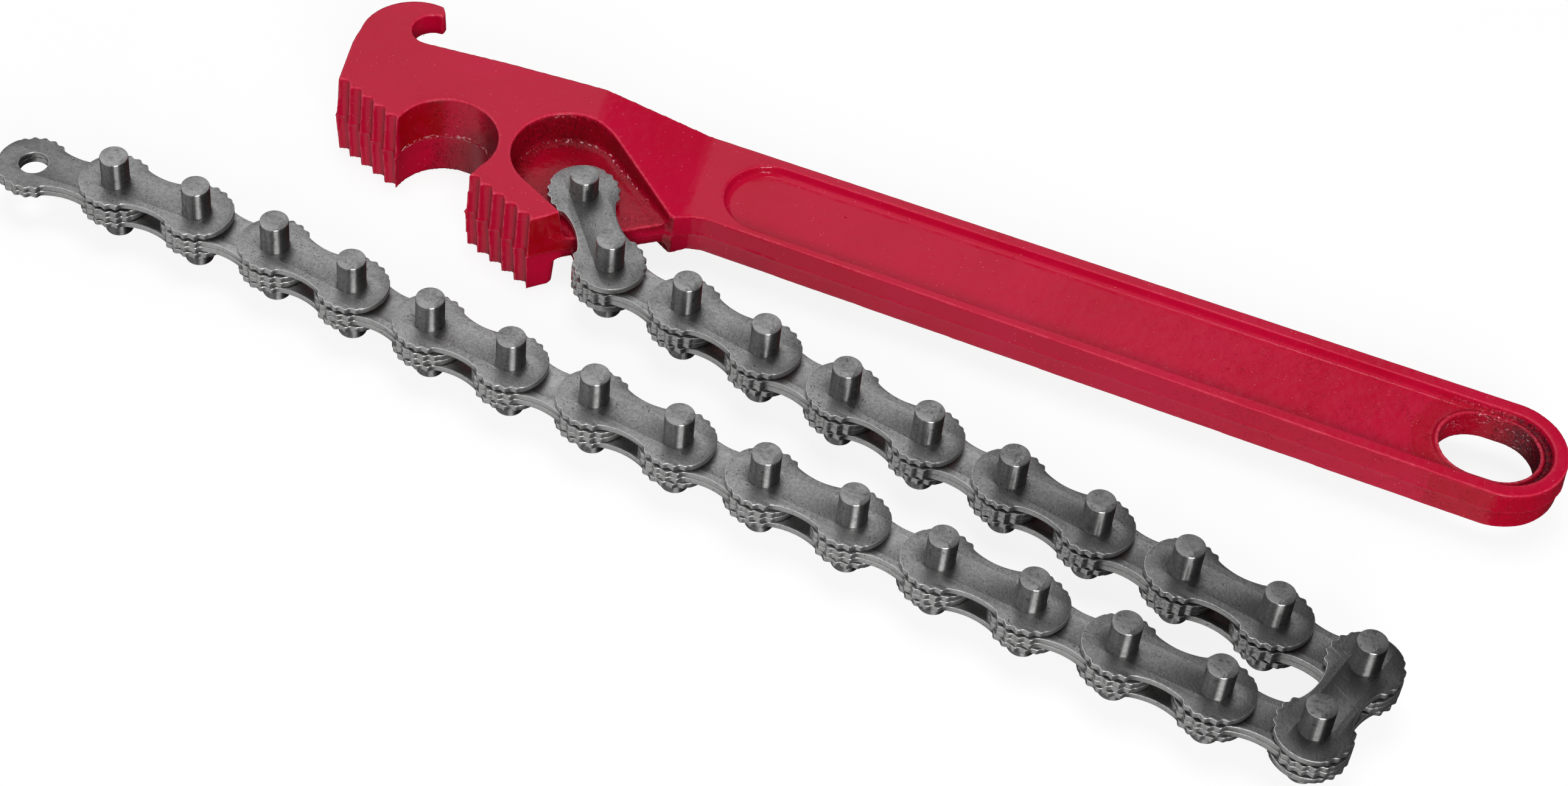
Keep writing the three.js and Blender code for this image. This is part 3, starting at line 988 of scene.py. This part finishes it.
def bentPrototype(name, holeRadius, side):  # spread towards the anchor pin, to clear the web
    plate = platePrototype(name, holeRadius)
    innerFace = chain["pairGap"] / 2 + chain["thickness"] + chain["outerGap"]
    spread = webHalf + chain["webClearance"] - innerFace
    lift = side * spread / (1 - casting["webEdgeDistance"] / chain["pitch"])
    for vertex in plate.data.vertices:
        share = min(1, max(0, vertex.co.x / chain["pitch"]))
        vertex.co.z += lift * (1 - share)
    return plate


def pinPrototype():
    radius, length, chamfer = chain["pinRadius"], chain["pinLength"], chain["pinChamfer"]
    bend = chamfer * 0.3
    end = [
        (0, 0), (radius / 2, 0), (radius - chamfer, chain["pinDome"]), (radius - bend, bend),
        (radius, chamfer),
    ]
    profile = end + [(radius, length / 2)] + [(x, length - z) for x, z in end[::-1]]
    shape = bmesh.new()
    points = [shape.verts.new((x, 0, z)) for x, z in profile]
    edges = [shape.edges.new(pair) for pair in zip(points, points[1:])]
    bmesh.ops.spin(
        shape, geom=points + edges, cent=(0, 0, 0), axis=(0, 0, 1),
        angle=2 * math.pi, steps=chain["pinSides"], use_merge=True,
    )
    bmesh.ops.remove_doubles(shape, verts=shape.verts, dist=chain["weld"])
    bmesh.ops.recalc_face_normals(shape, faces=shape.faces)
    mesh = bpy.data.meshes.new("pin")
    shape.to_mesh(mesh)
    shape.free()
    markFaces(mesh, 0.95)
    return linked("pinPrototype", mesh)


def linkTree(name, parts):  # parts: (input name of the object, input name of its places)
    sockets = [("Place", "Vector", None), ("Turn", "Vector", None), ("Finish", "Material", None)]
    for part in parts:
        sockets += [
            (part, "Object", None), (part + " Count", "Int", 1),
            (part + " Start", "Vector", None), (part + " Step", "Vector", None),
        ]
    tree, given = newTree(name, sockets)
    join = addNode(tree, "GeometryNodeJoinGeometry")
    for part in parts:
        row = addNode(tree, "GeometryNodeMeshLine", {
            "Count": given[part + " Count"],
            "Start Location": given[part + " Start"],
            "Offset": given[part + " Step"],
        }, mode="OFFSET")
        shape = addNode(tree, "GeometryNodeObjectInfo", {"Object": given[part]})
        copies = addNode(tree, "GeometryNodeInstanceOnPoints", {
            "Points": row.outputs[0], "Instance": shape.outputs["Geometry"],
        })
        tree.links.new(copies.outputs[0], join.inputs[0])
    placed = addNode(tree, "GeometryNodeTransform", {
        "Geometry": join.outputs[0], "Translation": given["Place"], "Rotation": given["Turn"],
    })
    whole = addNode(tree, "GeometryNodeRealizeInstances", {0: placed.outputs[0]})
    dressed = addNode(tree, "GeometryNodeSetMaterial", {
        "Geometry": whole.outputs[0], "Material": given["Finish"],
    })
    addNode(tree, "NodeGroupOutput", {0: dressed.outputs[0]})
    return tree


# Bare steel of the stamped plates and of the cut pins, with noises written as for the enamel
steel = {
    "plateDark": (0.41, 0.41, 0.408, 1),
    "plateLight": (0.80, 0.80, 0.795, 1),
    "plateRoughness": (0.48, 0.35),
    "edge": (0.60, 0.60, 0.595, 1),
    "rim": (0.85, 0.85, 0.84, 1),
    "stainAndShade": (0.045, 0.045, 0.043, 1),
    "scratch": (0.62, 0.62, 0.61, 1),
    "pinDark": (0.47, 0.47, 0.468, 1),
    "pinLight": (0.72, 0.72, 0.715, 1),
    "sideDark": (0.17, 0.17, 0.168, 1),
    "sideLight": (0.58, 0.58, 0.575, 1),
    "pinRoughness": (0.40, 0.28),
    "turnedRoughness": 0.5,
    "pinGrain": 0.95,
    "tones": [
        (7, 2, 0.5, 0.3, 0.7, 0, 0.25),
        (0.7, 4, 0.75, 0.32, 0.68, 0, 0.45),
        (0.17, 2, 0.5, 0.35, 0.65, 0, 0.30),
    ],
    "clouds": (2.4, 3, 0.5, 0.52, 0.68, 0.35, 0.95),
    "dots": (0.3, 2, 0.6, 0.60, 0.68),
    "ragged": (0.5, 3, 0.5, 0.35, 0.6, 0.45, 1.0),
    "drawn": (0.6, 3, 0.6, 0.4, 0.65, 0, 1, (1, 1, 0.05)),
    "blots": (1.2, 3, 0.6, 0.58, 0.70),
    "plateMarks": {"size": 0.8, "stretch": (0.12, 2.5, 1), "turn": 0.6, "low": 0.69},
    "pinMarks": {"size": 0.7, "stretch": (0.15, 2.0, 1), "turn": 0.9, "low": 0.66},
    "bumpHeight": 0.035,
}


def newSteel(name):  # its tone drifts from blotch to blotch, with a fine grain
    material, tree, shader, place = newMaterial(name)
    shader.inputs["Metallic"].default_value = 1.0
    tone = 0.0
    for noise in steel["tones"]:
        tone = maths(tree, "ADD", tone, cloudy(tree, place, *noise))
    return material, tree, shader, place, tone


def scratched(tree, place, size, stretch, turn, low):  # thin long marks that all lie one way
    turned = addNode(tree, "ShaderNodeMapping", {"Vector": place, "Rotation": (0, 0, turn)})
    lines = noiseAt(tree, turned.outputs[0], size, 2, 0.5, stretch)
    return ranged(tree, lines, low, low + 0.03)


def plateMaterial():
    material, tree, shader, place, tone = newSteel("tumbledSteel")
    rim, wall = pointMark(tree, "rim"), pointMark(tree, "wall")
    colour = mixed(tree, tone, steel["plateDark"], steel["plateLight"])
    # painted shade: each link darkened as a whole towards the stain colour by its shade mark
    colour = mixed(tree, pointMark(tree, "shade"), steel["stainAndShade"], colour)
    colour = laidOn(tree, colour, wall, 0.7, steel["edge"])
    marks = scratched(tree, place, **steel["plateMarks"])
    colour = laidOn(tree, colour, marks, 0.5, steel["scratch"])
    clouds = cloudy(tree, place, *steel["clouds"])
    stains = maths(tree, "MULTIPLY", cloudy(tree, place, *steel["dots"]), clouds)
    colour = mixed(tree, stains, colour, steel["stainAndShade"])
    colour = laidOn(tree, colour, rim, cloudy(tree, place, *steel["ragged"]), steel["rim"])
    tree.links.new(colour, shader.inputs["Base Color"])
    shine = ranged(tree, tone, 0.2, 0.8, *steel["plateRoughness"])
    tree.links.new(shine, shader.inputs["Roughness"])
    height = maths(tree, "MULTIPLY_ADD", stains, -0.5, noiseAt(tree, place, 0.45, 3))
    bumped(tree, shader, height, steel["bumpHeight"])
    return material


def pinMaterial():
    material, tree, shader, place, tone = newSteel("cutSteel")
    rim, wall = pointMark(tree, "rim"), pointMark(tree, "wall")
    top = maths(tree, "SUBTRACT", 1.0, wall)
    face = mixed(tree, tone, steel["pinDark"], steel["pinLight"])
    side = mixed(tree, tone, steel["sideDark"], steel["sideLight"])
    colour = mixed(tree, wall, face, side)
    marks = scratched(tree, place, **steel["pinMarks"])
    colour = laidOn(tree, colour, marks, maths(tree, "MULTIPLY", top, 0.35), steel["rim"])
    drawn = cloudy(tree, place, *steel["drawn"])
    colour = laidOn(tree, colour, drawn, maths(tree, "MULTIPLY", wall, 0.45), steel["sideDark"])
    colour = laidOn(tree, colour, cloudy(tree, place, *steel["blots"]), 0.5, steel["stainAndShade"])
    # painted shade: each pin pair darkened with its link by the shade mark
    colour = mixed(tree, pointMark(tree, "shade"), steel["stainAndShade"], colour)
    colour = laidOn(tree, colour, rim, 0.9, steel["rim"])
    tree.links.new(colour, shader.inputs["Base Color"])
    shader.inputs["Anisotropic"].default_value = steel["pinGrain"]
    upright = addNode(tree, "ShaderNodeCombineXYZ", {0: 0.02, 2: 1.0})
    tree.links.new(upright.outputs[0], shader.inputs["Tangent"])
    shine = ranged(tree, tone, 0.2, 0.8, *steel["pinRoughness"])
    turned = maths(tree, "MULTIPLY", wall, steel["turnedRoughness"])
    tree.links.new(maths(tree, "MAXIMUM", shine, turned), shader.inputs["Roughness"])
    height = maths(tree, "MULTIPLY", noiseAt(tree, place, 0.9, 3), maths(tree, "ADD", top, 0.15))
    bumped(tree, shader, height, steel["bumpHeight"])
    return material


def makeChain():
    pitch, thickness = chain["pitch"], chain["thickness"]
    press = chain["pinRadius"] + chain["pressClearance"]
    running = chain["pinRadius"] + chain["runningClearance"]
    outerPlate = platePrototype("outerPlate", press)
    innerPlate = platePrototype("innerPlate", running)
    bentUpper = bentPrototype("bentUpper", press, 1)
    bentLower = bentPrototype("bentLower", press, -1)
    pin = pinPrototype()
    plateFinish, pinFinish = plateMaterial(), pinMaterial()
    plateTree = linkTree("linkPlates", ["Lower Plate", "Upper Plate"])
    pinTree = linkTree("linkPins", ["Pin"])
    inner = chain["pairGap"] / 2 + thickness / 2
    outer = inner + thickness + chain["outerGap"]
    for number, joint in enumerate(frame["joints"], start=1):
        body = joint["child"]
        nodes = frame["record"]["behaviour"]["bodies"][body]
        start = Vector(joint["pos_m"])
        upperNode = next(node for node in nodes if "upper" in node)
        lowerNode = next(node for node in nodes if "lower" in node)
        along = sum(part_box(lowerNode), Vector()) / 2 - start
        turn = math.atan2(along.y, along.x)
        isOuter = number % 2 == 1
        height = outer if isOuter else inner
        middle = headMiddle - (0 if isOuter else chain["innerSag"])
        upper, lower = (outerPlate, outerPlate) if isOuter else (innerPlate, innerPlate)
        if number == 1:
            upper, lower = bentUpper, bentLower
        place = {"Place": (start.x / mm, start.y / mm, 0), "Turn": (0, 0, turn)}
        plates = linked("plates_%02d" % number, bpy.data.meshes.new("plates"))
        useTree(plates, plateTree, {
            **place, "Finish": plateFinish,
            "Lower Plate": lower, "Lower Plate Start": (0, 0, middle - height),
            "Upper Plate": upper, "Upper Plate Start": (0, 0, middle + height),
        })
        # painted shade for the whole link, half as strong on its pins
        shade = chain["linkPaintedShade"].get(number, chain["outerShade"] if isOuter else 1.0)
        addMark(plates.data, "shade", [shade] * len(plates.data.vertices))
        finishPiece(plates, body, [upperNode, lowerNode])
        if isOuter:
            pins = linked("pins_%02d" % number, bpy.data.meshes.new("pins"))
            useTree(pins, pinTree, {
                **place, "Finish": pinFinish,
                "Pin": pin, "Pin Step": (pitch, 0, 0), "Pin Count": 2,
            })
            addMark(pins.data, "shade", [(1 + shade) / 2] * len(pins.data.vertices))
            finishPiece(pins, body, [node for node in nodes if node == "anchor_pin"])
    for prototype in (outerPlate, innerPlate, bentUpper, bentLower, pin):
        bpy.data.objects.remove(prototype)


def finishPiece(piece, body, nodes):
    piece.data.transform(Matrix.Scale(mm, 4))
    piece.data.shade_smooth()
    piece.data.set_sharp_from_angle(angle=math.radians(chain["crease"]))
    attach(piece, body)
    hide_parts(*nodes)


makeChain()
print("stage: chain made")

# Floor, sky and lamps. Places and sizes in mm, power in watts. Mirrors show one sky above the
# floor's level and one below it, each pale between the limits of a direction. A lamp can be left
# out of the mirrors, or light nothing but them.
studio = {
    "floorReach": 6000,
    "floorDrop": 0.1,
    "floorWhite": (1.0, 1.0, 1.0, 1),
    "floorLit": (0.62, 0.62, 0.62, 1),
    "floorSeen": 0.86,
    "lowPale": (0.5, 0.5, 0.5, 1),
    "lowDark": (0.02, 0.02, 0.02, 1),
    "lowTurn": (0.06, 0.28),
    "lowFront": (-0.24, -0.06),
    "skyAmbient": 0.36,
    "skyPale": (0.72, 0.72, 0.73, 1),
    "skyDark": (0.06, 0.06, 0.062, 1),
    "skyTurn": (-0.17, 0.07),
    "skyRise": (0.35, 0.55),
    "horizon": (-0.06, 0.02),
    "lamps": [
        {
            "name": "topLamp", "place": (-80, 120, 1000), "size": (420, 420), "power": 4.3,
            "mirrored": False,
        },
        {
            "name": "frontLamp", "place": (430, -700, 430), "size": (380, 300), "power": 5.2,
            "mirrored": False,
        },
        {
            "name": "glintLamp", "place": (60, -60, 900), "size": (160, 160), "power": 0.35,
            "lights": False,
        },
        {
            "name": "lowLamp", "place": (430, -660, 72), "size": (400, 110), "power": 3.2,
            "lights": False,
        },
    ],
}


def blended(tree, amount, first, second):
    inputs = {0: amount, 1: first.outputs[0], 2: second.outputs[0]}
    return addNode(tree, "ShaderNodeMixShader", inputs)


def seenRays(tree):  # what the camera sees directly, and what it sees in a mirror
    ray = addNode(tree, "ShaderNodeLightPath").outputs
    mirrored = maths(tree, "MAXIMUM", ray["Is Glossy Ray"], ray["Is Transmission Ray"])
    return ray["Is Camera Ray"], mirrored


def makeFloor():
    mesh = bpy.data.meshes.new("floor")
    reach, drop = studio["floorReach"] * mm, studio["floorDrop"] * mm
    corners = [(-reach, -reach), (reach, -reach), (reach, reach), (-reach, reach)]
    mesh.from_pydata([(x, y, -drop) for x, y in corners], [], [(0, 1, 2, 3)])
    floor = linked("floor", mesh)
    material = bpy.data.materials.new("paleFloor")
    tree = emptyTree(material)
    direct, mirrored = seenRays(tree)
    shade = mixed(tree, direct, studio["floorLit"], studio["floorWhite"])
    paper = addNode(tree, "ShaderNodeBsdfDiffuse", {"Color": shade})
    glow = addNode(tree, "ShaderNodeEmission", {"Color": (1, 1, 1, 1), "Strength": 1.0})
    seen = maths(tree, "MULTIPLY", direct, studio["floorSeen"])
    clear = addNode(tree, "ShaderNodeBsdfTransparent")
    whole = blended(tree, mirrored, blended(tree, seen, paper, glow), clear)
    addNode(tree, "ShaderNodeOutputMaterial", {"Surface": whole.outputs[0]})
    mesh.materials.append(material)


def makeSky():
    sky = bpy.data.worlds.new("sky")
    bpy.context.scene.world = sky
    tree = emptyTree(sky)
    direct, mirrored = seenRays(tree)
    direction = addNode(tree, "ShaderNodeTexCoord").outputs["Generated"]
    along = addNode(tree, "ShaderNodeSeparateXYZ", {0: direction}).outputs
    turn = ranged(tree, along[0], *studio["skyTurn"], 1.0, 0.0, smooth=True)
    rise = ranged(tree, along[2], *studio["skyRise"], smooth=True)
    pale = maths(tree, "MULTIPLY", turn, rise)
    shade = mixed(tree, pale, studio["skyDark"], studio["skyPale"])
    lowTurn = ranged(tree, along[0], *studio["lowTurn"], 1.0, 0.0, smooth=True)
    lowFront = ranged(tree, along[1], *studio["lowFront"], 1.0, 0.0, smooth=True)
    lowLit = maths(tree, "MULTIPLY", lowTurn, lowFront)
    lowShade = mixed(tree, lowLit, studio["lowDark"], studio["lowPale"])
    shade = mixed(tree, ranged(tree, along[2], *studio["horizon"]), lowShade, shade)

    def glowing(colour, strength):
        inputs = {"Color": colour, "Strength": strength}
        return addNode(tree, "ShaderNodeBackground", inputs)

    ambient = glowing((1, 1, 1, 1), studio["skyAmbient"])
    inside = blended(tree, mirrored, ambient, glowing(shade, 1.0))
    whole = blended(tree, direct, inside, glowing((1, 1, 1, 1), 1.0))
    addNode(tree, "ShaderNodeOutputWorld", {"Surface": whole.outputs[0]})


def makeLamps():
    for lamp in studio["lamps"]:
        data = bpy.data.lights.new(lamp["name"], "AREA")
        data.shape = "RECTANGLE"
        data.size, data.size_y = (side * mm for side in lamp["size"])
        data.energy = lamp["power"]
        light = linked(lamp["name"], data)
        light.visible_diffuse = lamp.get("lights", True)
        light.visible_glossy = lamp.get("mirrored", True)
        light.location = Vector(lamp["place"]) * mm
        light.rotation_euler = (-light.location).to_track_quat("-Z", "Y").to_euler()


makeFloor()
makeSky()
makeLamps()
bpy.context.scene.view_settings.view_transform = "Standard"
print("stage: studio lit")
